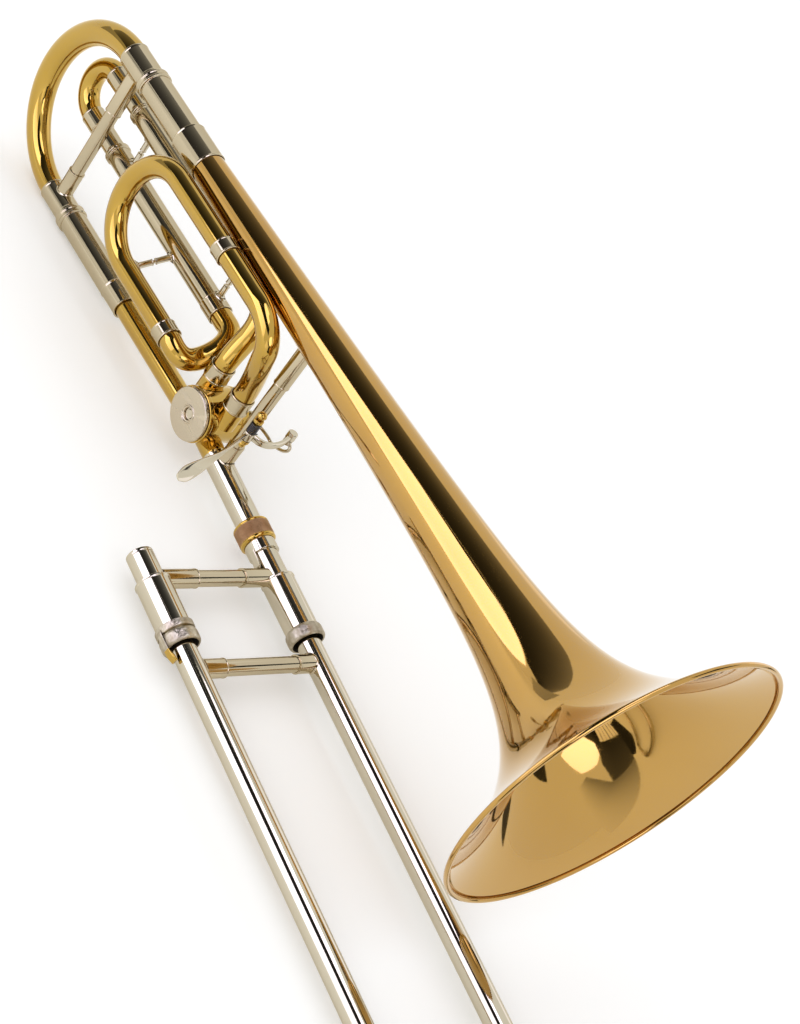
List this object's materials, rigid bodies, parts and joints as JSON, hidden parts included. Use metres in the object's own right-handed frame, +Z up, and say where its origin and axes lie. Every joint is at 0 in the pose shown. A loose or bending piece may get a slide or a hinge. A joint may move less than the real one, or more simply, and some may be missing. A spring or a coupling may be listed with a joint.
{
  "type": "tenor trombone",
  "caption": "Tenor trombone with a rotary thumb valve, tuning slides that draw, a hand slide, a sprung trigger and a water key.",
  "frame": {"origin": "middle of the bounding box's underside, on the table that the horn lies on", "axes": "+Y runs from the bell's mouth and the slide bow back to the tuning slides, +Z up, +X to the player's left"},
  "size_m": [0.2528, 1.1396, 0.2619],
  "materials": {
    "gold_brass": "clear lacquer over polished gold brass",
    "brass": "clear lacquer over polished yellow brass",
    "nickel_silver": "polished nickel silver",
    "steel": "blued steel",
    "rubber": "black rubber"
  },
  "bodies": {
    "bell_section": {"bell": "gold_brass", "bell_ferrule": "nickel_silver", "upper_outer_leg": "nickel_silver", "lower_outer_leg": "nickel_silver", "gooseneck": "brass", "valve_casing": "brass", "valve_cap": "nickel_silver", "bearing_plate": "brass", "stop_bumper_front": "rubber", "stop_bumper_rear": "rubber", "trigger_bracket": "brass", "hinge_rod": "brass", "trigger_spring": "steel", "f_ferrule_front": "nickel_silver", "f_ferrule_rear": "nickel_silver", "f_branch_front": "brass", "f_ferrule_middle": "nickel_silver", "f_bow": "brass", "f_ferrule_near": "nickel_silver", "f_u_bow": "brass", "f_leg_left": "nickel_silver", "f_leg_right": "nickel_silver", "f_branch_rear": "brass", "stay_near": "nickel_silver", "stay_legs": "nickel_silver", "stay_front": "nickel_silver", "neckpipe": "nickel_silver", "bell_brace": "nickel_silver", "neck_tenon": "nickel_silver", "cork_barrel_lower": "nickel_silver", "cork_barrel_upper": "nickel_silver", "mouthpiece_receiver": "nickel_silver", "leadpipe": "nickel_silver", "inner_tube_lower": "nickel_silver", "inner_tube_upper": "nickel_silver", "hand_brace": "nickel_silver"},
    "main_tuning_slide": {"tuning_crook": "brass", "tuning_ferrule_upper": "nickel_silver", "tuning_ferrule_lower": "nickel_silver", "tuning_leg_upper": "nickel_silver", "tuning_leg_lower": "nickel_silver", "tuning_brace": "nickel_silver"},
    "f_tuning_slide": {"f_crook": "brass", "f_inner_leg_left": "nickel_silver", "f_inner_leg_right": "nickel_silver"},
    "hand_slide": {"outer_tube_lower": "nickel_silver", "outer_tube_upper": "nickel_silver", "outer_brace": "nickel_silver", "slide_bow": "nickel_silver", "bow_guard": "nickel_silver", "rubber_tip": "rubber", "water_key_pin": "nickel_silver"},
    "water_key": {"water_key": "nickel_silver"},
    "trigger": {"trigger_lever": "nickel_silver"},
    "link": {"link_rod": "nickel_silver"},
    "rotor": {"rotor": "brass", "stop_arm": "nickel_silver", "stop_screw": "steel"},
    "lock_nut": {"lock_nut": "brass"},
    "slide_lock": {"slide_lock": "brass"}
  },
  "joints": [
    {"name": "hand_slide_travel", "type": "slide", "parent": "bell_section", "child": "hand_slide", "axis": [-0.0499, -0.9987, -0.0139], "range_m": [0, 0.58]},
    {"name": "main_tuning_slide_travel", "type": "slide", "parent": "bell_section", "child": "main_tuning_slide", "axis": [0, 0.9991, -0.042], "range_m": [0, 0.045]},
    {"name": "f_tuning_slide_travel", "type": "slide", "parent": "bell_section", "child": "f_tuning_slide", "axis": [0, 0.9991, -0.042], "range_m": [0, 0.03]},
    {"name": "trigger_hinge", "type": "hinge", "parent": "bell_section", "child": "trigger", "pos_m": [0.00437, 0.23248, 0.06311], "axis": [0, 0.042, 0.9991], "range_deg": [0, 20.98], "stiffness_Nm_per_rad": 0.25, "springref_deg": -20.05},
    {"name": "link_hinge", "type": "hinge", "parent": "trigger", "child": "link", "pos_m": [0.04387, 0.23367, 0.05565], "axis": [0, 0.042, 0.9991], "range_deg": [-26, 0]},
    {"name": "rotor_turn", "type": "hinge", "parent": "bell_section", "child": "rotor", "pos_m": [0.01787, 0.27582, 0.03236], "axis": [-1, 0, 0], "range_deg": [0, 90.01]},
    {"name": "lock_nut_turn", "type": "hinge", "parent": "bell_section", "child": "lock_nut", "pos_m": [0.01418, 0.18782, 0.01838], "axis": [-0.0499, -0.9987, -0.0139], "continuous": true},
    {"name": "water_key_hinge", "type": "hinge", "parent": "hand_slide", "child": "water_key", "pos_m": [-0.03877, -0.51185, 0.00865], "axis": [0, 0.0139, -0.9999], "range_deg": [0, 15], "stiffness_Nm_per_rad": 0.05, "springref_deg": -28.65},
    {"name": "slide_lock_turn", "type": "hinge", "parent": "bell_section", "child": "slide_lock", "pos_m": [-0.08801, 0.10632, 0.01724], "axis": [-0.0499, -0.9987, -0.0139], "range_deg": [0, 35]}
  ],
  "couplings": [
    {"joint": "rotor_turn", "follows": "trigger_hinge", "ratio": 4.2898},
    {"joint": "link_hinge", "follows": "trigger_hinge", "ratio": -1.239}
  ]
}
